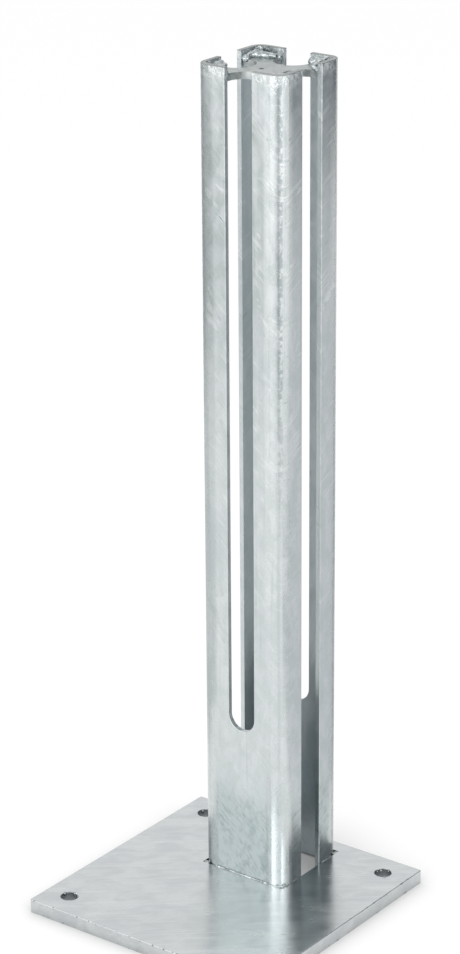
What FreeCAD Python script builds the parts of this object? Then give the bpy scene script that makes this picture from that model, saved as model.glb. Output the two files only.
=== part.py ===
import FreeCAD, Part
import math
import os

# Timber post base, in millimetres. The origin is the centre of the base plate's
# underside, +Z points up the upright, and +Y points to the plate edge that the
# upright stands close to.

# Base plate.
PLATE_WIDTH = 200.0            # along X
PLATE_DEPTH = 200.0            # along Y
PLATE_THICKNESS = 10.0
PLATE_CORNER_RADIUS = 1.5      # vertical corners
PLATE_EDGE_ROUND = 0.6         # upper edges, rounded by the zinc
ANCHOR_HOLE_DIAMETER = 13.0    # for M12 anchors
ANCHOR_SPACING_X = 160.0
ANCHOR_SPACING_Y = 160.0

# Upright: two folded channels, face to face.
UPRIGHT_WIDTH = 70.0           # outside, along X
UPRIGHT_DEPTH = 70.0           # outside, along Y
UPRIGHT_HEIGHT = 590.0         # above the plate
WALL = 3.6                     # sheet thickness
BEND_RADIUS = 9.0              # outside of the folds
SIDE_GAP = 22.0                # between the flanges of the two channels
SLOT_WIDTH = 22.0              # slot in each web
SLOT_END_HEIGHT = 125.0        # centre of the slot's round end, above the plate
BACK_MARGIN = 12.0             # from the upright to the plate's back edge
FOOT_RECESS = 2.2              # channels stop this far above the underside
FOOT_CLEARANCE = 0.3           # around the upright in the plate's opening
CUT_EDGE_ROUND = 0.5           # cut edges of slots and ends, rounded by the zinc

# Spacer plate that holds the channels apart at the top.
SPACER_THICKNESS = 5.0
SPACER_DROP = 6.0              # below the top of the upright
SPACER_CLEARANCE = 0.25        # to the inner faces of the channels
SCALLOP_RADIUS = 13.5
SCALLOP_SETBACK = 4.4          # scallop centre, inwards from the inner face
PIT_DIAMETER = 3.2             # small round pit in the spacer's top
PIT_DEPTH = 2.5
PIT_X = -4.1                   # from the upright's axis
PIT_Y = -3.1

# Fillet welds.
TOP_WELD_SHARE = 0.9           # leg of the top beads, as a share of the bends' inner radius
FOOT_WELD_LEG = 2.0

# Places that follow from the sizes above.
UPRIGHT_Y = PLATE_DEPTH / 2 - BACK_MARGIN - UPRIGHT_DEPTH / 2
UPRIGHT_TOP = PLATE_THICKNESS + UPRIGHT_HEIGHT
HALF_WIDTH = UPRIGHT_WIDTH / 2
HALF_DEPTH = UPRIGHT_DEPTH / 2
INNER_HALF_WIDTH = HALF_WIDTH - WALL
INNER_HALF_DEPTH = HALF_DEPTH - WALL
INNER_BEND_RADIUS = BEND_RADIUS - WALL
TOP_WELD_LEG = TOP_WELD_SHARE * INNER_BEND_RADIUS
SPACER_TOP = UPRIGHT_TOP - SPACER_DROP
OVERSHOOT = 5.0                # cutting tools run this far past what they cut

UP = FreeCAD.Vector(0, 0, 1)
UPRIGHT_AXIS = FreeCAD.Vector(0, UPRIGHT_Y, 0)


def box(size_x, size_y, z_low, z_high, centre_y=0.0):
    """A box centred on X = 0 and Y = centre_y, between two heights."""
    corner = FreeCAD.Vector(-size_x / 2, centre_y - size_y / 2, z_low)
    return Part.makeBox(size_x, size_y, z_high - z_low, corner)


def upright_edges(shape):
    """The straight vertical edges of a shape."""
    found = []
    for edge in shape.Edges:
        start, end = edge.firstVertex().Point, edge.lastVertex().Point
        level = math.hypot(end.x - start.x, end.y - start.y)
        if level < 1e-6 and abs(end.z - start.z) > 1e-6:
            found.append(edge)
    return found


def fold_line(half_x, half_y, radius, flange_y):
    """One face of a folded channel, seen from above, from flange end to flange end.

    The web lies at Y = -half_y, the flanges at X = +-half_x, and they end at flange_y.
    """
    turn = radius * math.sqrt(0.5)
    lines = []
    for side in (-1, 1):
        centre = FreeCAD.Vector(side * (half_x - radius), -half_y + radius, 0)
        flange_end = FreeCAD.Vector(side * half_x, flange_y, 0)
        on_flange = centre + FreeCAD.Vector(side * radius, 0, 0)
        middle = centre + FreeCAD.Vector(side * turn, -turn, 0)
        on_web = centre + FreeCAD.Vector(0, -radius, 0)
        flange = Part.LineSegment(flange_end, on_flange).toShape()
        bend = Part.Arc(on_flange, middle, on_web).toShape()
        lines.append((flange, bend, flange_end, on_web))
    left, right = lines
    web = Part.LineSegment(left[3], right[3]).toShape()
    edges = [left[0], left[1], web, right[1], right[0]]
    return edges, left[2], right[2]


def slot_tool(half_depth):
    """What a slot with a round lower end removes, open at the top."""
    radius = SLOT_WIDTH / 2
    end_z = PLATE_THICKNESS + SLOT_END_HEIGHT
    depth = half_depth + OVERSHOOT
    straight = Part.makeBox(
        SLOT_WIDTH, depth, UPRIGHT_TOP + OVERSHOOT - end_z,
        FreeCAD.Vector(-radius, -depth, end_z),
    )
    round_end = Part.makeCylinder(
        radius, depth, FreeCAD.Vector(0, -depth, end_z), FreeCAD.Vector(0, 1, 0)
    )
    return straight.fuse(round_end)


def cut_edges(channel):
    """The edges where a cut meets the sheet's outside: slot, flange ends and top."""
    found = []
    for edge in channel.Edges:
        middle = edge.valueAt((edge.FirstParameter + edge.LastParameter) / 2)
        points = [vertex.Point for vertex in edge.Vertexes] + [middle]
        on_web = all(abs(point.y + HALF_DEPTH) < 1e-6 for point in points)
        on_flange = all(abs(abs(point.x) - HALF_WIDTH) < 1e-6 for point in points)
        fold = getattr(edge.Curve, "Radius", 0.0) == BEND_RADIUS
        in_slot = on_web and all(abs(point.x) < SLOT_WIDTH / 2 + 1e-6 for point in points)
        at_gap = on_flange and all(abs(point.y + SIDE_GAP / 2) < 1e-6 for point in points)
        on_top = all(abs(point.z - UPRIGHT_TOP) < 1e-6 for point in points)
        if in_slot or at_gap or (on_top and (on_web or on_flange or fold)):
            found.append(edge)
    return found


def make_channel():
    """The front channel: a sheet folded twice, with the slot cut in its web."""
    flange_y = -SIDE_GAP / 2
    outer, outer_left, outer_right = fold_line(HALF_WIDTH, HALF_DEPTH, BEND_RADIUS, flange_y)
    inner, inner_left, inner_right = fold_line(
        INNER_HALF_WIDTH, INNER_HALF_DEPTH, INNER_BEND_RADIUS, flange_y
    )
    ends = [
        Part.LineSegment(outer_left, inner_left).toShape(),
        Part.LineSegment(outer_right, inner_right).toShape(),
    ]
    outline = Part.Wire(Part.__sortEdges__(outer + inner + ends))
    blank = Part.Face(outline).extrude(UP * (UPRIGHT_TOP - FOOT_RECESS))
    blank.translate(UP * FOOT_RECESS)
    channel = blank.cut(slot_tool(HALF_DEPTH))
    channel = channel.makeFillet(CUT_EDGE_ROUND, cut_edges(channel))
    channel.translate(UPRIGHT_AXIS)
    return channel


def turned_about_upright(shape, angle):
    """A copy of a shape, turned about the upright's axis."""
    copy = shape.copy()
    copy.rotate(UPRIGHT_AXIS, UP, angle)
    return copy


def make_base_plate():
    """The plate, with its square opening for the upright and its anchor holes."""
    plate = box(PLATE_WIDTH, PLATE_DEPTH, 0, PLATE_THICKNESS)
    plate = plate.makeFillet(PLATE_CORNER_RADIUS, upright_edges(plate))
    rim = [
        edge for edge in plate.Edges
        if min(vertex.Z for vertex in edge.Vertexes) > PLATE_THICKNESS - 1e-6
    ]
    plate = plate.makeFillet(PLATE_EDGE_ROUND, rim)
    opening = box(
        UPRIGHT_WIDTH + 2 * FOOT_CLEARANCE, UPRIGHT_DEPTH + 2 * FOOT_CLEARANCE,
        -OVERSHOOT, PLATE_THICKNESS + OVERSHOOT, UPRIGHT_Y,
    )
    plate = plate.cut(opening)
    for x in (-ANCHOR_SPACING_X / 2, ANCHOR_SPACING_X / 2):
        for y in (-ANCHOR_SPACING_Y / 2, ANCHOR_SPACING_Y / 2):
            hole = Part.makeCylinder(
                ANCHOR_HOLE_DIAMETER / 2, PLATE_THICKNESS + 2 * OVERSHOOT,
                FreeCAD.Vector(x, y, -OVERSHOOT),
            )
            plate = plate.cut(hole)
    return plate


def scallop_centres():
    """The centres of the four scallops, one facing the middle of each side."""
    reach_x = INNER_HALF_WIDTH - SCALLOP_SETBACK
    reach_y = INNER_HALF_DEPTH - SCALLOP_SETBACK
    return [
        UPRIGHT_AXIS + FreeCAD.Vector(reach_x, 0, 0),
        UPRIGHT_AXIS + FreeCAD.Vector(0, reach_y, 0),
        UPRIGHT_AXIS + FreeCAD.Vector(-reach_x, 0, 0),
        UPRIGHT_AXIS + FreeCAD.Vector(0, -reach_y, 0),
    ]


def cut_scallops(shape, z_low, z_high):
    """Cuts the four scallops through a shape between two heights."""
    for centre in scallop_centres():
        scallop = Part.makeCylinder(SCALLOP_RADIUS, z_high - z_low, centre + UP * z_low)
        shape = shape.cut(scallop)
    return shape


def make_spacer():
    """A cross with four arms that fit the bends, and a scallop between each two."""
    size_x = 2 * (INNER_HALF_WIDTH - SPACER_CLEARANCE)
    size_y = 2 * (INNER_HALF_DEPTH - SPACER_CLEARANCE)
    spacer = box(size_x, size_y, SPACER_TOP - SPACER_THICKNESS, SPACER_TOP, UPRIGHT_Y)
    corner_radius = INNER_BEND_RADIUS - SPACER_CLEARANCE
    spacer = spacer.makeFillet(corner_radius, upright_edges(spacer))
    pit = Part.makeCylinder(
        PIT_DIAMETER / 2, PIT_DEPTH + OVERSHOOT,
        UPRIGHT_AXIS + FreeCAD.Vector(PIT_X, PIT_Y, SPACER_TOP - PIT_DEPTH),
    )
    spacer = spacer.cut(pit)
    z_low = SPACER_TOP - SPACER_THICKNESS - OVERSHOOT
    return cut_scallops(spacer, z_low, SPACER_TOP + OVERSHOOT)


def make_top_welds():
    """Four fillet beads on the spacer's arms, along the inside of each bend."""
    edges, left_end, right_end = fold_line(
        INNER_HALF_WIDTH, INNER_HALF_DEPTH, INNER_BEND_RADIUS, 0.0
    )
    path = Part.Wire(edges)
    path.translate(UPRIGHT_AXIS + UP * SPACER_TOP)
    root = left_end + UPRIGHT_AXIS + UP * SPACER_TOP
    toe = root + FreeCAD.Vector(TOP_WELD_LEG, 0, 0)
    crown = root + UP * TOP_WELD_LEG
    belly = root + FreeCAD.Vector(1, 0, 1) * (TOP_WELD_LEG * 0.62)
    section = Part.Wire([
        Part.LineSegment(root, toe).toShape(),
        Part.Arc(toe, belly, crown).toShape(),
        Part.LineSegment(crown, root).toShape(),
    ])
    front = path.makePipeShell([section], True, False)
    z_high = SPACER_TOP + TOP_WELD_LEG + OVERSHOOT
    beads = []
    for angle in (0, 180):
        run = turned_about_upright(front, angle)
        run = cut_scallops(run, SPACER_TOP - OVERSHOOT, z_high)
        beads.extend(run.Solids)
    return Part.makeCompound(beads)


def make_foot_welds():
    """Two beads under the channels' ends, in the recess of the plate's opening."""
    width = UPRIGHT_WIDTH + 2 * FOOT_CLEARANCE
    depth = UPRIGHT_DEPTH + 2 * FOOT_CLEARANCE
    low = FOOT_RECESS - FOOT_WELD_LEG
    block = box(width, depth, low, FOOT_RECESS, UPRIGHT_Y)

    def level_wire(inset, z):
        rectangle = Part.makePlane(
            width - 2 * inset, depth - 2 * inset,
            FreeCAD.Vector(inset - width / 2, UPRIGHT_Y + inset - depth / 2, z),
        )
        return rectangle.OuterWire

    hollow = Part.makeLoft([level_wire(0, low), level_wire(FOOT_WELD_LEG, FOOT_RECESS)], True)
    ring = block.cut(hollow)
    gap = box(width + 2 * OVERSHOOT, SIDE_GAP, low - OVERSHOOT, FOOT_RECESS + OVERSHOOT, UPRIGHT_Y)
    return Part.makeCompound(ring.cut(gap).Solids)


front_channel = make_channel()
parts = {
    "base_plate": make_base_plate(),
    "front_channel": front_channel,
    "rear_channel": turned_about_upright(front_channel, 180),
    "top_spacer_plate": make_spacer(),
    "top_weld_beads": make_top_welds(),
    "foot_weld_beads": make_foot_welds(),
}

os.makedirs("parts", exist_ok=True)
for name, shape in parts.items():
    shape.exportStep("parts/" + name + ".step")
    volumes = [round(solid.Volume, 1) for solid in shape.Solids]
    print(name, "solids", len(shape.Solids), "valid", shape.isValid(), "volumes", volumes)
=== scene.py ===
# %% [markdown]
# # A timber post base in hot-dip galvanised steel
#
# A thick base plate carries a slim square upright. The upright is two folded steel
# channels, face to face, with a gap between them. The whole thing was welded first and
# then dipped in molten zinc, so every surface carries the same cloudy grey-white skin.
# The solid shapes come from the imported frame. This script gives them their zinc finish,
# adds what the dipping and the welding left behind, and lights the result.

# %% Load the fixed frame
import math
import random

import bpy
from mathutils import Matrix, Vector


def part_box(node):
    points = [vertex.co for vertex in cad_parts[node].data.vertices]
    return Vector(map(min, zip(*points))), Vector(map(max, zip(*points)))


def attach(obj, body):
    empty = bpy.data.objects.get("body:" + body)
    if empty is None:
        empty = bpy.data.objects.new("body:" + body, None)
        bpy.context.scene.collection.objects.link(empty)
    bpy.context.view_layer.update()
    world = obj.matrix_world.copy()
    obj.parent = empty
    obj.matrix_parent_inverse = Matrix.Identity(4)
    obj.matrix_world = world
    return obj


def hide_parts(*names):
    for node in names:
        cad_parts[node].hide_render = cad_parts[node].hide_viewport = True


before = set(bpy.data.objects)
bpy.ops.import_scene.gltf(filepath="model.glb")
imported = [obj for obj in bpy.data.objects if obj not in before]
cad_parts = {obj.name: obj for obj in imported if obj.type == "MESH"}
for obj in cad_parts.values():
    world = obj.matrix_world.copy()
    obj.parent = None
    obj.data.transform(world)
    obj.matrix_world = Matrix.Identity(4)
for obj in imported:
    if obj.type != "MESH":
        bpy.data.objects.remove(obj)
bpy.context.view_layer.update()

MM = 0.001
print("nodes:", ", ".join(sorted(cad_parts)))

# %% [markdown]
# ## Where things are
#
# Every later place is worked out from the frame's boxes. The upright's box gives its
# axis and its half width. The sheet's thickness, the radius of its folds and the place
# of the anchor holes are the sizes that the solids were drawn with.

# %% Places read from the frame
plate_low, plate_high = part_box("base_plate")
front_low, front_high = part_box("front_channel")
rear_low, rear_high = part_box("rear_channel")
_, spacer_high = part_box("top_spacer_plate")

PLATE_TOP = plate_high.z
UPRIGHT_TOP = front_high.z
SPACER_TOP = spacer_high.z
AXIS_Y = (front_low.y + rear_high.y) / 2
HALF_WIDTH = (front_high.x - front_low.x) / 2
GAP_HALF = (rear_low.y - front_high.y) / 2
plate_middle = (plate_low + plate_high) / 2
plate_half = (plate_high - plate_low) / 2
print("upright axis at y", round(AXIS_Y / MM, 1), "mm, half width", round(HALF_WIDTH / MM, 1))
print("plate top", round(PLATE_TOP / MM, 1), "spacer top", round(SPACER_TOP / MM, 1))

# %% [markdown]
# ### Sizes of the sheet
#
# A fold is a quarter round, outside and inside. Its centre lies one outer radius in from
# both faces, and its line is the ridge where the two faces turn into each other.

# %% Sizes the solids were drawn with
WALL = 3.6 * MM
FOLD_RADIUS = 9.0 * MM
SCALLOP_HALF = 12.8 * MM
ANCHOR_HALF = 80 * MM
ANCHOR_RADIUS = 6.5 * MM
INNER_HALF = HALF_WIDTH - WALL
INNER_RADIUS = FOLD_RADIUS - WALL
FOLD_CENTRE = HALF_WIDTH - FOLD_RADIUS
FOLD_LINE = FOLD_CENTRE + FOLD_RADIUS * math.sqrt(0.5)
print("fold line at", round(FOLD_LINE / MM, 2), "mm from the axis, both ways")

# %% [markdown]
# ## Two small helpers
#
# Colours are easiest to choose as sRGB hex codes, but shaders work with linear light,
# so one function converts them. A node setup is built with one function that adds a
# node, sets its properties, and fills or links its inputs.


# %% Colour and node helpers
def linear(code):
    """An sRGB hex code as a linear RGBA colour."""
    parts = [int(code[start:start + 2], 16) / 255 for start in (1, 3, 5)]
    light = [p / 12.92 if p <= 0.04045 else ((p + 0.055) / 1.055) ** 2.4 for p in parts]
    return (*light, 1.0)


def add_node(tree, kind, inputs=None, **settings):
    """Adds a node. An input is a value, another node, or one socket of a node."""
    node = tree.nodes.new(kind)
    for name, value in settings.items():
        setattr(node, name, value)
    for name, value in (inputs or {}).items():
        if isinstance(value, bpy.types.Node):
            value = next(socket for socket in value.outputs if socket.enabled)
        if isinstance(value, bpy.types.NodeSocket):
            tree.links.new(value, node.inputs[name])
        else:
            node.inputs[name].default_value = value
    return node


print("mid grey in linear light:", [round(c, 3) for c in linear("#808080")[:3]])

# %% [markdown]
# ## The camera
#
# A long lens looks down on the upright from its front right. A tall narrow frame and
# little perspective keep the upright's edges almost parallel. The camera is placed by
# turning round the upright: an azimuth, an elevation and a distance. First come the
# three directions that it sees as right, up and towards itself.

# %% Which way the camera looks
AZIMUTH = math.radians(36.97)
ELEVATION = math.radians(20.88)
ROLL = math.radians(-0.41)

view_right = Vector((math.cos(AZIMUTH), math.sin(AZIMUTH), 0))
view_back = Vector((
    math.sin(AZIMUTH) * math.cos(ELEVATION),
    -math.cos(AZIMUTH) * math.cos(ELEVATION),
    math.sin(ELEVATION),
))
view_up = view_back.cross(view_right)
camera_right = view_right * math.cos(ROLL) + view_up * math.sin(ROLL)
camera_up = view_up * math.cos(ROLL) - view_right * math.sin(ROLL)
print("the camera looks from", [round(c, 3) for c in view_back])

# %% [markdown]
# ### The lens and its place
#
# It aims at the middle of the upright's height, and a little to its left, because the
# plate reaches farther that way. From there it stands back by its distance.

# %% Camera
DISTANCE = 2.149
FOCAL_LENGTH = 116.93
SENSOR_WIDTH = 36.0
AIM_HEIGHT = 305.5 * MM
AIM_LEFT = 27.85 * MM

camera_data = bpy.data.cameras.new("camera")
camera_data.lens = FOCAL_LENGTH
camera_data.sensor_width = SENSOR_WIDTH
camera_data.clip_end = 100.0
camera = bpy.data.objects.new("camera", camera_data)
bpy.context.scene.collection.objects.link(camera)
aim = Vector((0, AXIS_Y, AIM_HEIGHT)) - view_right * AIM_LEFT
turn = Matrix((camera_right, camera_up, view_back)).transposed().to_4x4()
camera.matrix_world = Matrix.Translation(aim + view_back * DISTANCE) @ turn
bpy.context.scene.camera = camera
print("camera at", [round(c, 3) for c in camera.matrix_world.translation])

# %% [markdown]
# ## The floor
#
# The object stands on a plain white floor. To the camera and in reflections more than
# half of the floor's brightness is a plain white glow, so it fades into the room without
# a horizon. The glow dims where the object shuts the floor in, and the rest is a matt
# surface, so the floor keeps the object's soft shadow.

# %% Floor
FLOOR_SIZE = 60.0
FLOOR_GLOW = 0.6
CONTACT_REACH = 70 * MM

bpy.ops.object.select_all(action="DESELECT")
bpy.ops.mesh.primitive_plane_add(size=FLOOR_SIZE, location=(0, 0, 0))
floor = bpy.context.object
floor.name = "floor"
floor_paint = bpy.data.materials.new("pale_studio_floor")
floor_paint.use_nodes = True
tree = floor_paint.node_tree
tree.nodes.clear()
path = add_node(tree, "ShaderNodeLightPath").outputs
mirrored = add_node(tree, "ShaderNodeMath", {
    0: path["Is Glossy Ray"], 1: path["Is Transmission Ray"],
}, operation="MAXIMUM")
seen = add_node(tree, "ShaderNodeMath", {0: path["Is Camera Ray"], 1: mirrored}, operation="MAXIMUM")
share = add_node(tree, "ShaderNodeMath", {0: seen, 1: FLOOR_GLOW}, operation="MULTIPLY")
open_sky = add_node(tree, "ShaderNodeAmbientOcclusion", {"Distance": CONTACT_REACH}, samples=16)
matt = add_node(tree, "ShaderNodeBsdfDiffuse", {"Color": linear("#FCFCFC")})
glow = add_node(tree, "ShaderNodeEmission", {
    "Color": linear("#FFFFFF"), "Strength": open_sky.outputs["AO"],
})
blend = add_node(tree, "ShaderNodeMixShader", {0: share, 1: matt, 2: glow})
add_node(tree, "ShaderNodeOutputMaterial", {"Surface": blend})
floor.data.materials.append(floor_paint)
print("floor", FLOOR_SIZE, "m across, glow share", FLOOR_GLOW)

# %% [markdown]
# ## The white room
#
# The room is one even white at full strength. Tones are shown as they are, because a
# filmic curve would turn the white room grey.

# %% World
world = bpy.data.worlds.new("white_studio")
world.use_nodes = True
tree = world.node_tree
tree.nodes.clear()
white = add_node(tree, "ShaderNodeBackground", {"Color": linear("#FFFFFF"), "Strength": 1.0})
add_node(tree, "ShaderNodeOutputWorld", {"Surface": white})
bpy.context.scene.world = world
bpy.context.scene.view_settings.view_transform = "Standard"
print("view transform:", bpy.context.scene.view_settings.view_transform)

# %% [markdown]
# ## Soft boxes
#
# Bright metal has almost no colour of its own, it shows what stands around it. Two large
# soft boxes, left and right of the camera, draw the two bright lines down the nearest
# fold. A weak one high between them softens the gap between those lines, and a wide one
# far to the left lights the front face's foot and its reflection in the plate. All are
# placed by an azimuth round the upright, where 0 looks at its front.


# %% Lamp helpers
def around_upright(azimuth, distance, height):
    """A place at an azimuth round the upright, where 0 looks at its front."""
    angle = math.radians(azimuth)
    return Vector((math.sin(angle) * distance, AXIS_Y - math.cos(angle) * distance, height))


def facing_upright(place):
    """The turn that makes a lamp or card at this place look level at the upright."""
    look = Vector((0, AXIS_Y, place.z)) - place
    return look.to_track_quat("-Z", "Y").to_euler()


def soft_box(name, azimuth, distance, width, foot, height, power):
    """A rectangular lamp that faces the upright, some way above the floor."""
    lamp_data = bpy.data.lights.new(name, "AREA")
    lamp_data.shape = "RECTANGLE"
    lamp_data.size = width
    lamp_data.size_y = height
    lamp_data.energy = power
    lamp = bpy.data.objects.new(name, lamp_data)
    lamp.location = around_upright(azimuth, distance, foot + height / 2)
    lamp.rotation_euler = facing_upright(lamp.location)
    lamp.visible_camera = False
    bpy.context.scene.collection.objects.link(lamp)


print("azimuth 90 is at", [round(c, 2) for c in around_upright(90, 1.0, 0.0)])

# %% [markdown]
# ### The four lamps
#
# Widths, heights and distances are in metres and powers in watts. The foot of a lamp is
# its lowest edge: it decides how far down the upright its bright line begins to fade.

# %% Soft boxes
soft_box("left_soft_box", azimuth=11, distance=1.6, width=0.85, foot=0.35, height=0.9, power=6.0)
soft_box("right_soft_box", azimuth=67, distance=1.6, width=0.66, foot=0.33, height=0.9, power=4.9)
soft_box("front_fill_box", azimuth=40, distance=1.8, width=0.40, foot=0.65, height=0.7, power=1.4)
soft_box("left_fill_box", azimuth=-38, distance=1.6, width=1.00, foot=0.40, height=1.0, power=3.7)
print("lamps:", len(bpy.data.lights))

# %% [markdown]
# ## Grey cards
#
# Grey cards give the faces something darker than the white room to reflect. That is how
# a studio keeps two faces of a bright part apart. Most stand and face the upright, and
# two lie on the floor. They show only in reflections and take no light away.


# %% Grey cards
def grey_card(name, tone, azimuth, distance, height, wide, tall, lying=False):
    """A flat card of one plain tone that only reflections show."""
    centre = around_upright(azimuth, distance, height)
    turn = (0, 0, math.radians(azimuth)) if lying else facing_upright(centre)
    bpy.ops.object.select_all(action="DESELECT")
    bpy.ops.mesh.primitive_plane_add(size=1.0, location=centre, rotation=turn)
    card = bpy.context.object
    card.name = name
    card.scale = (wide, tall, 1.0)
    paint = bpy.data.materials.new(name + "_paint")
    paint.use_nodes = True
    paint.node_tree.nodes.clear()
    flat = add_node(paint.node_tree, "ShaderNodeEmission", {"Color": linear(tone), "Strength": 1.0})
    add_node(paint.node_tree, "ShaderNodeOutputMaterial", {"Surface": flat})
    card.data.materials.append(paint)
    card.visible_camera = False
    card.visible_diffuse = False
    card.visible_shadow = False


ON_FLOOR = 0.002
grey_card("left_card", "#C0C4C4", -58, 1.2, height=0.2, wide=1.3, tall=0.4)
grey_card("far_left_card", "#A6AAAC", -98, 1.2, height=0.6, wide=0.5, tall=1.2)
grey_card("camera_card", "#9A9E9E", 39, 1.1, height=0.19, wide=0.40, tall=0.38)
grey_card("back_card", "#6F757B", 146, 1.1, height=0.91, wide=1.5, tall=1.34)
grey_card("floor_card", "#E0E2E5", 143, 0.86, height=ON_FLOOR, wide=1.4, tall=1.4, lying=True)
grey_card("left_floor_card", "#E2E5E5", -98, 0.75, height=ON_FLOOR, wide=0.9, tall=1.0, lying=True)

# %% [markdown]
# ## Hot-dip galvanised steel
#
# Molten zinc freezes into a bright skin that soon turns a cloudy grey. The eye sees
# patches about as wide as a fingernail, drag marks where the zinc ran off on a slant,
# and a soft shine in which reflections are blurred. It is a metal all over, so only its
# colour, roughness and relief change from place to place.


# %% Metal and its coats
def new_metal(name):
    """An empty metal material: its tree, the object coordinates and the shader."""
    material = bpy.data.materials.new(name)
    material.use_nodes = True
    tree = material.node_tree
    tree.nodes.clear()
    place = add_node(tree, "ShaderNodeTexCoord").outputs["Object"]
    shader = add_node(tree, "ShaderNodeBsdfPrincipled", {"Metallic": 1.0})
    add_node(tree, "ShaderNodeOutputMaterial", {"Surface": shader})
    return material, tree, place, shader


def finish_metal(tree, shader, colour, roughness, relief, height):
    """Feeds a metal's colour, roughness and relief into its shader."""
    bump = add_node(tree, "ShaderNodeBump", {"Height": relief, "Distance": height, "Strength": 1.0})
    tree.links.new(colour.outputs[2], shader.inputs["Base Color"])
    tree.links.new(roughness.outputs[0], shader.inputs["Roughness"])
    tree.links.new(bump.outputs[0], shader.inputs["Normal"])


def coat_node(name, metal):
    """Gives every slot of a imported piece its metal."""
    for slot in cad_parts[name].material_slots:
        slot.material = metal


print("metal helpers ready")

# %% [markdown]
# ### Patterns and stains
#
# Each pattern is a noise read in object coordinates. A Mapping node of the Texture kind
# first turns the pattern and then divides by a real size, so its three sizes are those
# of one patch or streak in millimetres. A stain is one tone laid over another where such
# a pattern is strong. Its most can be a number, or a node that says how much in each
# place.

# %% Patterns and stains
UPWARD = (0, 0, 1)
SIDEWAYS = (1, 0, 0)


def pattern(tree, place, along, sizes, seed=0.0, detail=3.0, distortion=0.0):
    """Noise whose patches have real sizes: one along a direction, two across it."""
    turn = Vector(SIDEWAYS).rotation_difference(Vector(along)).to_euler()
    mapping = add_node(tree, "ShaderNodeMapping", {
        "Vector": place, "Rotation": turn, "Scale": [size * MM for size in sizes],
    }, vector_type="TEXTURE")
    return add_node(tree, "ShaderNodeTexNoise", {
        "Vector": mapping, "W": seed, "Scale": 1.0, "Detail": detail,
        "Roughness": 0.55, "Distortion": distortion,
    }, noise_dimensions="4D")


def stain(tree, under, where, low, high, most, code):
    """Lays a tone over a colour where a pattern goes from low to high, up to most."""
    cover = add_node(tree, "ShaderNodeMapRange", {
        "Value": where, "From Min": low, "From Max": high, "To Max": most,
    }, interpolation_type="SMOOTHSTEP")
    colour = add_node(tree, "ShaderNodeMix", {
        0: cover, 6: under, 7: linear(code),
    }, data_type="RGBA")
    return colour, cover


print("patterns are sized in mm, stains in shares of a tone")

# %% [markdown]
# ### Where a point is on the upright
#
# All four folds are alike, so the upright is folded up like a paper snowflake: the
# absolute value of a point's offset from the axis gives its place in one quarter. There
# a fold is a single upright line, and its distance says how near a point is to it.

# %% Places on the upright
zinc, tree, place, shader = new_metal("galvanised_channel")
offset = add_node(tree, "ShaderNodeVectorMath", {0: place, 1: (0, AXIS_Y, 0)}, operation="SUBTRACT")
quarter = add_node(tree, "ShaderNodeVectorMath", {0: offset}, operation="ABSOLUTE")
side, depth, height = add_node(tree, "ShaderNodeSeparateXYZ", {0: quarter}).outputs
level = add_node(tree, "ShaderNodeVectorMath", {0: quarter, 1: (1, 1, 0)}, operation="MULTIPLY")
from_fold = add_node(tree, "ShaderNodeVectorMath", {
    0: level, 1: (FOLD_LINE, FOLD_LINE, 0),
}, operation="DISTANCE")
print("one quarter stands for all four, nodes so far:", len(tree.nodes))

# %% [markdown]
# ### Clouds and runs
#
# The zinc froze in soft clouds, and thin runs went straight down with gravity. Both are
# faint. Large patches vary more than small ones, so there are two sizes of cloud, and a
# fine grain keeps the skin from looking painted.

# %% Clouds and runs
cloud = pattern(tree, place, UPWARD, (16, 9, 9), seed=1.0, detail=5.0, distortion=0.8)
broad = pattern(tree, place, UPWARD, (70, 26, 26), seed=2.0, detail=3.0, distortion=0.4)
run = pattern(tree, place, UPWARD, (150, 3, 3), seed=5.0, detail=3.0, distortion=0.4)
grain = pattern(tree, place, UPWARD, (1.8, 1.8, 1.8), seed=7.0, detail=2.0)

colour, _ = stain(tree, linear("#CCD3D2"), cloud, 0.36, 0.64, 1.0, "#D9DDDE")
colour, _ = stain(tree, colour, broad, 0.46, 0.64, 0.35, "#C3CACC")
colour, _ = stain(tree, colour, run, 0.56, 0.70, 0.35, "#B4BDBF")
colour, _ = stain(tree, colour, grain, 0.3, 0.7, 0.14, "#A9B2B4")
print("clouds 16 and 70 mm tall, runs 150 mm, grain 1.8 mm")

# %% [markdown]
# ### Slanted drag marks
#
# The upright left the bath hanging at a slant, so the last zinc dragged at an angle and
# left smears and hairlines. They must show on faces that stand at right angles, so they
# are not threads but thin tilted sheets: where a sheet meets a face it draws a line,
# down to the right on the front and down to the left on the side.

# %% Sheets of drag marks
DRAG_SHEETS = Vector((-1.8, 1.0, -1.8)).normalized()
smear = pattern(tree, place, DRAG_SHEETS, (4.0, 26, 26), seed=3.0, detail=4.0, distortion=0.3)
bold = pattern(tree, place, DRAG_SHEETS, (5.0, 18, 18), seed=4.4, detail=4.0, distortion=0.6)
hair = pattern(tree, place, DRAG_SHEETS, (1.0, 22, 22), seed=6.0, detail=2.0)
scratch = pattern(tree, place, DRAG_SHEETS, (1.1, 9, 9), seed=8.0, detail=1.0)
group = pattern(tree, place, UPWARD, (40, 18, 18), seed=12.3, detail=2.0)
print("sheets lean along", [round(c, 2) for c in DRAG_SHEETS])

# %% [markdown]
# ### Where the drag marks show
#
# The marks are strong near the top and fade towards the foot. The hairlines come in
# groups, the smears are soft and pale, a few bold ones are nearly white, and a few marks
# are dark scratches.

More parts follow.
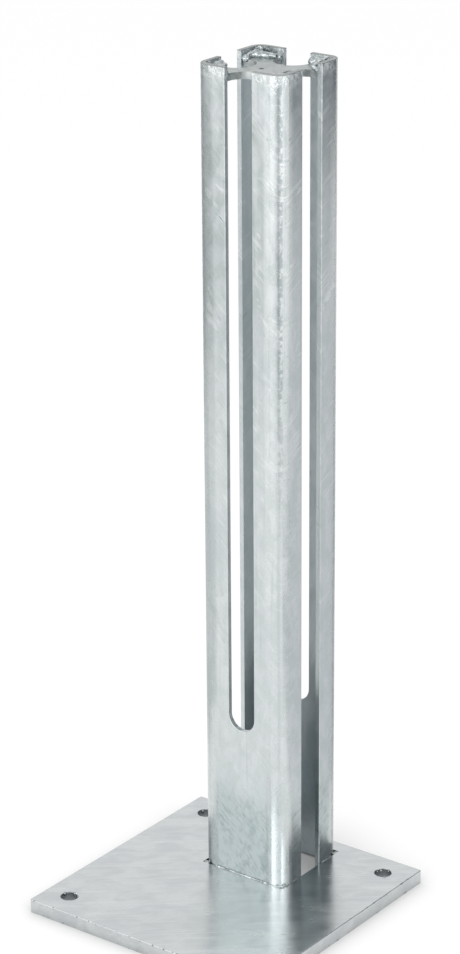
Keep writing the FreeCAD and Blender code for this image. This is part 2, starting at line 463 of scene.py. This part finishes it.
# %% Drag marks laid on
MARKS_FULL = 500 * MM
upper = add_node(tree, "ShaderNodeMapRange", {
    "Value": height, "From Min": 120 * MM, "From Max": MARKS_FULL,
    "To Min": 0.12, "To Max": 0.55,
})
strong = add_node(tree, "ShaderNodeMapRange", {
    "Value": height, "From Min": 200 * MM, "From Max": MARKS_FULL,
    "To Min": 0.10, "To Max": 0.6,
})
grouped = add_node(tree, "ShaderNodeMapRange", {
    "Value": group, "From Min": 0.50, "From Max": 0.64, "To Max": upper,
}, interpolation_type="SMOOTHSTEP")
colour, smeared = stain(tree, colour, smear, 0.56, 0.74, upper, "#EEF1F0")
colour, _ = stain(tree, colour, bold, 0.62, 0.69, strong, "#F4F7F6")
colour, haired = stain(tree, colour, hair, 0.52, 0.68, grouped, "#F6F9F8")
colour, _ = stain(tree, colour, scratch, 0.70, 0.78, upper, "#6F7A7E")
print("drag marks are strongest above", round(MARKS_FULL / MM), "mm")

# %% [markdown]
# ### The line of pits on each fold
#
# The outside of a tight fold stretches, and the zinc keeps a line of small round pits
# there. It follows the middle of each fold and fades out below the upper third.

# %% Fold line
PIT_REACH = 2.6 * MM
pits = pattern(tree, place, UPWARD, (4.0, 3.4, 3.4), seed=9.0, detail=3.0)
stretched = add_node(tree, "ShaderNodeMapRange", {
    "Value": height, "From Min": 240 * MM, "From Max": 420 * MM, "To Max": 0.6,
}, interpolation_type="SMOOTHSTEP")
line = add_node(tree, "ShaderNodeMapRange", {
    "Value": from_fold, "From Min": PIT_REACH, "From Max": 0.8 * MM, "To Max": stretched,
}, interpolation_type="SMOOTHSTEP")
colour, pitted = stain(tree, colour, pits, 0.42, 0.56, line, "#7F8A8D")
print("pits within", round(PIT_REACH / MM, 1), "mm of each fold line")

# %% [markdown]
# ### The scuffed foot
#
# The lowest few centimetres were scuffed in handling, before and after the dip: the zinc
# is duller there, mottled, with short slanted scratches. The folds stayed smooth, so the
# scuffs start a little way from each fold line.

# %% Scuffed foot
SCUFF_TOP = PLATE_TOP + 80 * MM
SCUFF_FULL = PLATE_TOP + 45 * MM
mottle = pattern(tree, place, UPWARD, (7, 5, 5), seed=42.0, detail=4.0, distortion=0.6)
scuff = pattern(tree, place, DRAG_SHEETS, (1.2, 8, 8), seed=41.0, detail=3.0, distortion=0.2)
foot = add_node(tree, "ShaderNodeMapRange", {
    "Value": height, "From Min": SCUFF_TOP, "From Max": SCUFF_FULL,
}, interpolation_type="SMOOTHSTEP")
flat_foot = add_node(tree, "ShaderNodeMapRange", {
    "Value": from_fold, "From Min": 7 * MM, "From Max": 12 * MM, "To Max": foot,
}, interpolation_type="SMOOTHSTEP")
most_mottled = add_node(tree, "ShaderNodeMath", {0: flat_foot, 1: 0.42}, operation="MULTIPLY")
most_scuffed = add_node(tree, "ShaderNodeMath", {0: flat_foot, 1: 0.6}, operation="MULTIPLY")
colour, _ = stain(tree, colour, flat_foot, 0.0, 1.0, 0.45, "#A6B1B1")
colour, _ = stain(tree, colour, mottle, 0.46, 0.66, most_mottled, "#93A0A0")
colour, scuffed = stain(tree, colour, scuff, 0.52, 0.68, most_scuffed, "#8E9A9B")
print("scuffs up to", round(SCUFF_TOP / MM), "mm")

# %% [markdown]
# ### The rough top end
#
# The top few millimetres are rough with zinc that froze as it ran back from the welds.
# It is a pale crust of small lumps, whose height comes later with the relief.

# %% Crust at the top
CRUST_DEPTH = 11 * MM
lumps = pattern(tree, place, UPWARD, (4.0, 2.6, 2.6), seed=10.0, detail=4.0, distortion=0.8)
near_top = add_node(tree, "ShaderNodeMapRange", {
    "Value": height, "From Min": UPRIGHT_TOP - CRUST_DEPTH, "From Max": UPRIGHT_TOP - 2 * MM,
    "To Max": 0.45,
}, interpolation_type="SMOOTHSTEP")
colour, crust = stain(tree, colour, lumps, 0.44, 0.62, near_top, "#F4F6F4")
print("crust over the top", round(CRUST_DEPTH / MM), "mm")

# %% [markdown]
# ### Inside the upright
#
# The inside walls get a cooler tone, a painted tint for the blue of the shade in the hollow. The webs
# are painted lighter higher up, as painted light, and darker low down, as painted shade deep in the
# hollow. A point counts as inside when it lies most of the sheet's thickness in from the outer faces
# on both sides.

# %% Inside walls
WALL_OUT = HALF_WIDTH - 2 * MM
WALL_IN = HALF_WIDTH - 3 * MM
inner_side = add_node(tree, "ShaderNodeMapRange", {
    "Value": side, "From Min": WALL_OUT, "From Max": WALL_IN,
})
inner = add_node(tree, "ShaderNodeMapRange", {
    "Value": depth, "From Min": WALL_OUT, "From Max": WALL_IN, "To Max": inner_side,
})
# A cool tint on every inside wall, painted for the colour of the shade in the hollow.
colour, _ = stain(tree, colour, inner, 0.0, 1.0, 0.15, "#8CA4B4")
web_share = add_node(tree, "ShaderNodeMapRange", {
    "Value": side, "From Min": WALL_IN - 1 * MM, "From Max": WALL_IN - 2 * MM,
    "To Min": 0.12, "To Max": 0.5,
})
inside_painted_light_and_shade = add_node(tree, "ShaderNodeMath", {0: inner, 1: web_share}, operation="MULTIPLY")
# Painted light up the inside webs, then painted shade low down in the hollow.
colour, _ = stain(tree, colour, height, 60 * MM, 180 * MM, inside_painted_light_and_shade, "#EDF1F2")
colour, _ = stain(tree, colour, height, 140 * MM, 60 * MM, inside_painted_light_and_shade, "#B6C2C7")
print("inside starts", round((HALF_WIDTH - WALL_IN) / MM, 1), "mm in from the faces")

# %% [markdown]
# ### The darker end
#
# The cut end is painted plainer and darker than the faces, as painted shade on the upward end face,
# and it is a little rougher.

# %% Darker end, painted shade
END_FROM = UPRIGHT_TOP - 0.8 * MM
END_FULL = UPRIGHT_TOP - 0.2 * MM
# Painted shade over the end face at the top of the upright.
colour, painted_shade = stain(tree, colour, height, END_FROM, END_FULL, 0.85, "#989A9A")
print("sawn end above", round(END_FROM / MM, 1), "mm")

# %% [markdown]
# ### Relief
#
# The relief is in millimetres: gentle swells under the clouds, the crust, and shallow
# pits and scuffs. The zinc also thickens beside each fold, which makes the fold look
# broader and softer than the bent steel under it, so the relief rises away from the
# fold line.

# %% Relief of the channels
FOLD_SWELL = 1.8
FOLD_SWELL_REACH = 12.5 * MM
relief = add_node(tree, "ShaderNodeMapRange", {
    "Value": from_fold, "From Min": 2 * MM, "From Max": FOLD_SWELL_REACH, "To Max": FOLD_SWELL,
}, interpolation_type="SMOOTHSTEP")
for layer, millimetres in (
    (cloud, 0.12), (smear, 0.04), (grain, 0.012), (crust, 0.4), (pitted, -0.06),
    (haired, 0.01), (scuffed, -0.06),
):
    relief = add_node(tree, "ShaderNodeMath", {
        0: layer, 1: millimetres, 2: relief,
    }, operation="MULTIPLY_ADD")
print("the relief rises", FOLD_SWELL, "mm away from each fold line")

# %% [markdown]
# ### Shine
#
# Smears, pits and the crust are duller than the smooth zinc round them, and the folds
# are a little smoother than the flat faces.

# %% Shine of the channels
smooth_fold = add_node(tree, "ShaderNodeMapRange", {
    "Value": from_fold, "From Min": 12 * MM, "From Max": 7 * MM,
})
gloss = add_node(tree, "ShaderNodeMapRange", {
    "Value": cloud, "From Min": 0.35, "From Max": 0.65, "To Min": 0.30, "To Max": 0.38,
})
for layer, more in (
    (smeared, 0.12), (pitted, 0.2), (crust, 0.3), (painted_shade, 0.1), (smooth_fold, -0.07),
):
    gloss = add_node(tree, "ShaderNodeMath", {0: layer, 1: more, 2: gloss}, operation="MULTIPLY_ADD")
finish_metal(tree, shader, colour, gloss, relief, MM)
coat_node("front_channel", zinc)
coat_node("rear_channel", zinc)
print("channel nodes:", len(tree.nodes))

# %% [markdown]
# ## The plate
#
# The plate is cut from hot-rolled strip, so under the zinc it still has the mill's long
# fine lines. It is smoother than the folded sheet and shows a clearer reflection of the
# upright.

# %% Galvanised plate
PLATE_LINES = Vector((0.76, 0.65, 0.0)).normalized()
plate_zinc, tree, place, shader = new_metal("galvanised_plate")
cloud = pattern(tree, place, PLATE_LINES, (24, 12, 12), seed=11.0, detail=4.0, distortion=0.6)
patch = pattern(tree, place, UPWARD, (40, 40, 40), seed=14.0, detail=2.0)
streak = pattern(tree, place, PLATE_LINES, (70, 1.3, 1.3), seed=12.0, detail=2.0, distortion=0.1)
colour, _ = stain(tree, linear("#C3C7C9"), cloud, 0.36, 0.64, 1.0, "#CED2D3")
colour, _ = stain(tree, colour, patch, 0.48, 0.66, 0.3, "#BEC3C4")
colour, _ = stain(tree, colour, streak, 0.50, 0.74, 0.35, "#DFE3E3")
print("plate lines run along", [round(c, 2) for c in PLATE_LINES])

# %% [markdown]
# ### Nicks on the plate's edges
#
# The shear left a sharp edge, and stacking and carrying chipped it. The nicks are small
# and dark, and only where a point is near both the top face and a cut side.

# %% Nicks on the plate's edges
NICK_REACH = 1.6 * MM
NICK_FULL = 0.4 * MM
offset = add_node(tree, "ShaderNodeVectorMath", {0: place, 1: plate_middle}, operation="SUBTRACT")
quarter = add_node(tree, "ShaderNodeVectorMath", {0: offset}, operation="ABSOLUTE")
across, along, up = add_node(tree, "ShaderNodeSeparateXYZ", {0: quarter}).outputs
farthest = add_node(tree, "ShaderNodeMath", {0: across, 1: along}, operation="MAXIMUM")
top_edge = add_node(tree, "ShaderNodeMapRange", {
    "Value": up, "From Min": plate_half.z - NICK_REACH, "From Max": plate_half.z - NICK_FULL,
    "To Max": 0.8,
})
edge = add_node(tree, "ShaderNodeMapRange", {
    "Value": farthest, "From Min": plate_half.x - NICK_REACH,
    "From Max": plate_half.x - NICK_FULL, "To Max": top_edge,
})
nicks = pattern(tree, place, SIDEWAYS, (2.6, 2.6, 2.6), seed=15.0, detail=2.0)
colour, _ = stain(tree, colour, nicks, 0.58, 0.66, edge, "#5A6062")
print("nicks along", round(plate_half.x * 8, 2), "m of edge")

# %% [markdown]
# ### Shine of the plate
#
# The rolled face is the smoothest of all. Its fine lines and clouds stand up only a few
# hundredths of a millimetre, just enough to ripple the reflection of the upright.

# %% Shine of the plate
gloss = add_node(tree, "ShaderNodeMapRange", {
    "Value": cloud, "From Min": 0.35, "From Max": 0.65, "To Min": 0.20, "To Max": 0.28,
})
relief = add_node(tree, "ShaderNodeMath", {0: streak, 1: 0.006}, operation="MULTIPLY")
relief = add_node(tree, "ShaderNodeMath", {0: cloud, 1: 0.05, 2: relief}, operation="MULTIPLY_ADD")
finish_metal(tree, shader, colour, gloss, relief, MM)
coat_node("base_plate", plate_zinc)
print("plate nodes:", len(tree.nodes))

# %% [markdown]
# ## The dull spacer
#
# The small spacer lies flat and drained slowly, so its zinc is thick, even and matt.

# %% Dull spacer
spacer_zinc, tree, place, shader = new_metal("galvanised_spacer")
cloud = pattern(tree, place, SIDEWAYS, (7, 5, 5), seed=21.0, detail=4.0, distortion=0.6)
colour, _ = stain(tree, linear("#A9AEAE"), cloud, 0.36, 0.66, 1.0, "#BEC3C2")
gloss = add_node(tree, "ShaderNodeMapRange", {
    "Value": cloud, "From Min": 0.35, "From Max": 0.65, "To Min": 0.36, "To Max": 0.48,
})
finish_metal(tree, shader, colour, gloss, cloud, 0.25 * MM)
coat_node("top_spacer_plate", spacer_zinc)
print("spacer roughness 0.36 to 0.48")

# %% [markdown]
# ## Bright welds
#
# Zinc over a weld does the opposite: it froze fast on hot lumps and stayed bright. A few larger
# patches are painted darker, as painted shade.

# %% Bright welds
weld_zinc, tree, place, shader = new_metal("galvanised_weld")
cloud = pattern(tree, place, UPWARD, (3, 3, 3), seed=31.0, detail=4.0, distortion=0.5)
painted_shade_patches = pattern(tree, place, UPWARD, (14, 14, 14), seed=33.0, detail=2.0)
colour, _ = stain(tree, linear("#9FA7A9"), cloud, 0.40, 0.66, 1.0, "#DDE2E2")
# Larger patches of painted shade, darker over the welds.
colour, _ = stain(tree, colour, painted_shade_patches, 0.48, 0.60, 0.5, "#878E90")
gloss = add_node(tree, "ShaderNodeMapRange", {
    "Value": cloud, "From Min": 0.35, "From Max": 0.65, "To Min": 0.34, "To Max": 0.20,
})
finish_metal(tree, shader, colour, gloss, cloud, 0.3 * MM)
coat_node("foot_weld_beads", weld_zinc)
print("weld roughness 0.20 to 0.34")

# %% [markdown]
# ## Weld beads at the top
#
# Each arm of the spacer is welded to the inside of its fold. A weld bead is metal that flowed and
# froze, so it is a fat round line with lumps, and the zinc softened it further. It could be a curve
# with a bevel, but lumps are easier on a mesh: a small round section is pulled along the flange, spun
# round the fold and pulled along the web. These helpers start such a section and pull it along.


# %% Pulling a round section
def settle(piece):
    """Puts a piece's origin at the world's origin, with its place in its mesh."""
    bpy.ops.object.select_all(action="DESELECT")
    piece.select_set(True)
    bpy.context.view_layer.objects.active = piece
    bpy.ops.object.transform_apply(location=True, rotation=True, scale=True)


def start_round(name, place, turn, radius, points):
    """A new piece that starts as one flat round section, left in edit mode."""
    bpy.ops.object.select_all(action="DESELECT")
    bpy.ops.mesh.primitive_circle_add(
        vertices=points, radius=radius, fill_type="NGON", location=place, rotation=turn,
    )
    piece = bpy.context.object
    piece.name = name
    settle(piece)
    bpy.ops.object.mode_set(mode="EDIT")
    bpy.ops.mesh.select_all(action="SELECT")
    return piece


def pull(step, centre, size):
    """Extrudes the selected section by a step and resizes it about its new centre."""
    bpy.ops.mesh.extrude_region_move(TRANSFORM_OT_translate={"value": step})
    bpy.ops.transform.resize(value=(size, size, size), center_override=centre)


def end_pull():
    """Turns all faces of the pulled piece outwards and leaves edit mode."""
    bpy.ops.mesh.select_all(action="SELECT")
    bpy.ops.mesh.normals_make_consistent(inside=False)
    bpy.ops.object.mode_set(mode="OBJECT")


print("section helpers ready")

# %% [markdown]
# ### Drops and joining
#
# A drop is a ball, squeezed as it froze. Drops are set on a bead and overlap it, and the
# pieces are joined into one before they melt together.


# %% Drops and joining
def drop(place, radius, stretch):
    """A loose drop of metal: a ball, squeezed by its three stretches."""
    bpy.ops.object.select_all(action="DESELECT")
    bpy.ops.mesh.primitive_ico_sphere_add(subdivisions=3, radius=radius, location=place)
    ball = bpy.context.object
    ball.scale = stretch
    settle(ball)
    return ball


def join_all(pieces, name):
    """Joins pieces into the first one, under a new name."""
    bpy.ops.object.select_all(action="DESELECT")
    for piece in pieces:
        piece.select_set(True)
    bpy.context.view_layer.objects.active = pieces[0]
    bpy.ops.object.join()
    pieces[0].name = name
    return pieces[0]


print("drop and join helpers ready")

# %% [markdown]
# ### Melting
#
# A fine remesh melts overlapping lumps into one skin. Clouds push that skin in and out a
# little, and a short smoothing lets it flow, as the zinc did.


# %% Melting
def melt(piece, metal, voxel, lump_size, lump_height, smooth_turns):
    """Melts overlapping lumps into one skin of a metal, with its modifiers applied."""
    skin = piece.modifiers.new("skin", "REMESH")
    skin.mode = "VOXEL"
    skin.voxel_size = voxel
    clouds = bpy.data.textures.new(piece.name + "_lumps", "CLOUDS")
    clouds.noise_scale = lump_size
    bumps = piece.modifiers.new("lumps", "DISPLACE")
    bumps.texture = clouds
    bumps.texture_coords = "GLOBAL"
    bumps.strength = lump_height
    flow = piece.modifiers.new("flow", "SMOOTH")
    flow.factor = 0.5
    flow.iterations = smooth_turns
    bpy.context.view_layer.objects.active = piece
    for name in ("skin", "lumps", "flow"):
        bpy.ops.object.modifier_apply(modifier=name)
    bpy.ops.object.select_all(action="DESELECT")
    piece.select_set(True)
    bpy.ops.object.shade_smooth()
    piece.data.materials.clear()
    piece.data.materials.append(metal)


print("melt helper ready")

# %% [markdown]
# ### One bead, along the flange
#
# The bead is modelled once, at the fold nearest the viewer. It starts thin at the end of
# the flange and swells towards the fold. Each pull adds a little unevenness.

# %% Bead along the flange
BEAD_INSET = 1.7 * MM
BEAD_RADIUS = 2.8 * MM
BEAD_STEPS = 5
BEAD_POINTS = 12
THIN = 0.55
FULL = 1.2
bead_z = SPACER_TOP + 1.5 * MM
bead_x = INNER_HALF - BEAD_INSET
straight = FOLD_CENTRE - SCALLOP_HALF
bead_step = straight / BEAD_STEPS
luck = random.Random(7)

start = Vector((bead_x, -SCALLOP_HALF, bead_z))
bead = start_round("weld_bead", start, (math.pi / 2, 0, 0), BEAD_RADIUS * THIN, BEAD_POINTS)
fullness = THIN
for count in range(1, BEAD_STEPS + 1):
    target = THIN + (FULL - THIN) * count / BEAD_STEPS * luck.uniform(0.85, 1.15)
    start.y -= bead_step
    pull((0, -bead_step, 0), start, target / fullness)
    fullness = target
print("bead grows to", round(BEAD_RADIUS * fullness / MM, 1), "mm in radius")

# %% [markdown]
# ### One bead, round the fold and along the web
#
# A spin about the fold's own centre carries the fat section round the corner, where it
# fills the pocket almost to the top. Then it runs out thin along the web.

# %% Bead round the fold and along the web
SPIN_STEPS = 7
bpy.ops.mesh.spin(
    steps=SPIN_STEPS, angle=math.pi / 2, center=(FOLD_CENTRE, -FOLD_CENTRE, bead_z),
    axis=(0, 0, -1),
)
start = Vector((FOLD_CENTRE, -bead_x, bead_z))
for count in range(1, BEAD_STEPS + 1):
    target = FULL - (FULL - THIN) * count / BEAD_STEPS * luck.uniform(0.85, 1.15)
    start.x -= bead_step
    pull((-bead_step, 0, 0), start, target / fullness)
    fullness = target
end_pull()
reach = [v.co.x for v in bead.data.vertices]
print("bead spans x from", round(min(reach) / MM, 1), "to", round(max(reach) / MM, 1), "mm")

# %% [markdown]
# ### A place on the bead
#
# Drops are set by how far along the bead they sit. Two fifths of the bead lie on the
# flange, one fifth in the fold and two fifths on the web.

# %% Places on the bead
FLANGE_SHARE = 0.4
FOLD_SHARE = 0.2
DROP_INSET = 1.5 * MM


def on_bead(along):
    """A place on the bead's line, from 0 at the flange's end to 1 at the web's."""
    if along < FLANGE_SHARE:
        return Vector((INNER_HALF - DROP_INSET, -SCALLOP_HALF - along / FLANGE_SHARE * straight, 0))
    past_fold = along - FLANGE_SHARE - FOLD_SHARE
    if past_fold > 0:
        return Vector((FOLD_CENTRE - past_fold / FLANGE_SHARE * straight, DROP_INSET - INNER_HALF, 0))
    sweep = math.radians(90) * (along - FLANGE_SHARE) / FOLD_SHARE
    arm = INNER_RADIUS - 2.0 * MM
    return Vector((FOLD_CENTRE + arm * math.cos(sweep), -FOLD_CENTRE - arm * math.sin(sweep), 0))


print("middle of the bead at", [round(c / MM, 1) for c in on_bead(0.5)])

# %% [markdown]
# ### Four beads with drops
#
# A copy of the bead is turned to each fold. Two flattened drops are its tails, and a
# handful of small ones break up its line. Where the welder lingered, a fat lump reaches
# almost to the top of the wall. The folds are taken in turn: front right, rear right,
# rear left and front left.

# %% Tails and drops
TAIL_PLACES = (0.06, 0.94)
TAIL_RADIUS = 3.3 * MM
FAT_PLACES = ((0.16, 0.28), (0.10, 0.20), (), (0.80, 0.90))
FAT_RADIUS = 4.0 * MM
FAT_INWARD = 0.97
beads = []
for corner in range(4):
    copy = bead.copy()
    copy.data = bead.data.copy()
    bpy.context.scene.collection.objects.link(copy)
    beads.append(copy)
    quarter_turn = Matrix.Rotation(math.radians(90 * corner), 4, "Z")
    to_corner = Matrix.Translation((0, AXIS_Y, SPACER_TOP)) @ quarter_turn
    copy.matrix_world = Matrix.Translation((0, 0, -SPACER_TOP)) @ to_corner
    settle(copy)
    for along in TAIL_PLACES:
        beads.append(drop(to_corner @ on_bead(along), TAIL_RADIUS, (1.0, 1.0, 0.8)))
    for count in range(5):
        spot = on_bead(luck.uniform(0.2, 0.8))
        spot.z = luck.uniform(0.8, 3.4) * MM
        squeeze = (luck.uniform(0.8, 1.3), luck.uniform(0.8, 1.3), luck.uniform(0.6, 0.9))
        beads.append(drop(to_corner @ spot, luck.uniform(1.1, 2.0) * MM, squeeze))
    for along in FAT_PLACES[corner]:
        spot = on_bead(along) * FAT_INWARD
        spot.z = 1.0 * MM
        beads.append(drop(to_corner @ spot, FAT_RADIUS, (1.0, 1.0, 1.0)))
bpy.data.objects.remove(bead)
print("lumps to melt together:", len(beads))

# %% [markdown]
# ### The beads melted
#
# The melt makes one skin of beads, tails and drops, and the result takes the place of
# the plain fillets.

# %% Melt the beads
top_welds = join_all(beads, "lumpy_top_welds")
melt(
    top_welds, weld_zinc, voxel=0.45 * MM, lump_size=3.0 * MM, lump_height=0.7 * MM,
    smooth_turns=2,
)
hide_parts("top_weld_beads")
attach(top_welds, "root")
print("top welds:", len(top_welds.data.polygons), "faces")

# %% [markdown]
# ## The zinc seam at the foot
#
# Where the upright goes through the plate, zinc bridged the narrow gap as it drained
# and froze as a thin uneven bright line. It is made as the weld was, only much thinner:
# a small round section pulled along the wall, with its thickness changing at random.

# %% A run of zinc
SEAM_RADIUS = 0.95 * MM
SEAM_STEP = 3.0 * MM
SEAM_POINTS = 8
SEAM_START = 0.4
SEAM_END = 0.35
luck = random.Random(23)


def seam_run(start, step, count, fullness):
    """A thin uneven run of zinc: a round section pulled in steps from a start."""
    turn = Vector(step).to_track_quat("Z", "X").to_euler()
    centre = Vector(start)
    seam_piece = start_round("seam", centre, turn, SEAM_RADIUS * SEAM_START, SEAM_POINTS)
    size = SEAM_START
    for index in range(count):
        target = fullness * luck.uniform(0.75, 1.25)
        if index == count - 1:
            target = SEAM_END
        centre += Vector(step)
        pull(step, centre, target / size)
        size = target
    end_pull()
    return seam_piece


print("seam about", round(2 * SEAM_RADIUS / MM, 1), "mm thick")

# %% [markdown]
# ### Runs round the upright
#
# One long run lies along each web, and a short one along each of the four flanges, up to
# the gap between the channels.

# %% Seam runs
seam_z = PLATE_TOP + 0.05 * MM
seam_reach = HALF_WIDTH + 0.25 * MM
front_y = AXIS_Y - seam_reach
back_y = AXIS_Y + seam_reach
long_count = int(2 * FOLD_CENTRE / SEAM_STEP)
side_count = int((FOLD_CENTRE - GAP_HALF) / SEAM_STEP)
runs = [
    seam_run((-FOLD_CENTRE, front_y, seam_z), (SEAM_STEP, 0, 0), long_count, 1.0),
    seam_run((-FOLD_CENTRE, back_y, seam_z), (SEAM_STEP, 0, 0), long_count, 0.9),
]
for side_x in (-seam_reach, seam_reach):
    for way, fullness in ((-1, 0.6), (1, 0.9)):
        first = (side_x, AXIS_Y + way * FOLD_CENTRE, seam_z)
        runs.append(seam_run(first, (0, -way * SEAM_STEP, 0), side_count, fullness))
print("seam runs:", len(runs))

# %% [markdown]
# ### Drops on the front run
#
# The front run carries a few fat drops, most of them in its left half. They are squashed
# flat against the wall and drawn out along it.

# %% Drops on the front run
for share, size in ((0.27, 1.3), (0.32, 1.7), (0.37, 1.3), (0.62, 1.0), (0.80, 1.1)):
    spot = (-FOLD_CENTRE + share * 2 * FOLD_CENTRE, front_y, seam_z + 0.2 * MM)
    runs.append(drop(spot, size * MM, (1.4, 0.45, 0.5)))
print("runs and front drops:", len(runs))

# %% [markdown]
# ### The filled well
#
# Between each round fold and the square corner of the opening is a small well. In the
# one nearest the viewer the zinc stands as a flat grey lens, with thinner zinc running
# out along both walls.

# %% Filled well
WELL = FOLD_LINE + 1.3 * MM
LENS_RADIUS = 3.1 * MM
lens_place = (WELL, AXIS_Y - WELL, PLATE_TOP - 0.5 * MM)
runs.append(drop(lens_place, LENS_RADIUS, (1.0, 1.0, 0.35)))
for past_fold, size in ((0.5, 1.0), (2.5, 1.6), (4.8, 2.2)):
    beyond = FOLD_CENTRE + past_fold * MM
    for x, y in ((beyond, HALF_WIDTH), (HALF_WIDTH, beyond)):
        runs.append(drop((x, AXIS_Y - y, PLATE_TOP - 0.2 * MM), size * MM, (1.0, 1.0, 0.4)))
print("well at", round(WELL / MM, 1), "mm from the axis, both ways")

# %% [markdown]
# ### The other wells
#
# The other three wells kept only a crumb or two of zinc, below the face of the plate.

# %% Crumbs in the other wells
for way_x, way_y in ((-1, -1), (-1, 1), (1, 1)):
    for count in range(3):
        spot = (
            way_x * (WELL + luck.uniform(-1.6, 1.0) * MM),
            AXIS_Y + way_y * (WELL + luck.uniform(-1.6, 1.0) * MM),
            PLATE_TOP - luck.uniform(0.3, 1.2) * MM,
        )
        runs.append(drop(spot, luck.uniform(0.9, 1.5) * MM, (1.0, 1.0, 0.6)))
print("pieces of the seam:", len(runs))

# %% [markdown]
# ### The seam melted
#
# A finer melt than the weld's, because the whole seam is only a millimetre or two thick.

# %% Melt the seam
seam = join_all(runs, "foot_zinc_seam")
melt(
    seam, weld_zinc, voxel=0.25 * MM, lump_size=3.0 * MM, lump_height=0.2 * MM,
    smooth_turns=1,
)
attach(seam, "root")
print("foot seam:", len(seam.data.polygons), "faces")

# %% [markdown]
# ## Zinc in the anchor holes
#
# When the plate was lifted from the bath, the last zinc hung in the holes and froze on
# their rims as a thin uneven line with a drop or two. Each rim is a thin torus with a
# few drops, melted together.

# %% Hole rims
RIM_RADIUS = 0.45 * MM
RIM_Z = PLATE_TOP - 0.35 * MM
rims = []
for way_x in (-1, 1):
    for way_y in (-1, 1):
        centre = Vector((way_x * ANCHOR_HALF, plate_middle.y + way_y * ANCHOR_HALF, RIM_Z))
        bpy.ops.object.select_all(action="DESELECT")
        bpy.ops.mesh.primitive_torus_add(
            location=centre, major_radius=ANCHOR_RADIUS, minor_radius=RIM_RADIUS,
            major_segments=48, minor_segments=8,
        )
        rims.append(bpy.context.object)
        settle(rims[-1])
        for count in range(4):
            angle = luck.uniform(0, 2 * math.pi)
            out = Vector((math.cos(angle), math.sin(angle), 0)) * ANCHOR_RADIUS
            fall = Vector((0, 0, -luck.uniform(0.2, 2.5) * MM))
            rims.append(drop(centre + out + fall, luck.uniform(0.7, 1.3) * MM, (1.0, 1.0, 1.6)))
print("rings and drops:", len(rims))

# %% [markdown]
# ### The rims melted
#
# The melt rounds the line between ring and drops, and its clouds make the rim uneven.

# %% Melt the rims
hole_rims = join_all(rims, "anchor_hole_zinc")
melt(
    hole_rims, weld_zinc, voxel=0.25 * MM, lump_size=2.5 * MM, lump_height=0.35 * MM,
    smooth_turns=1,
)
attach(hole_rims, "root")
print("hole rims:", len(hole_rims.data.polygons), "faces")
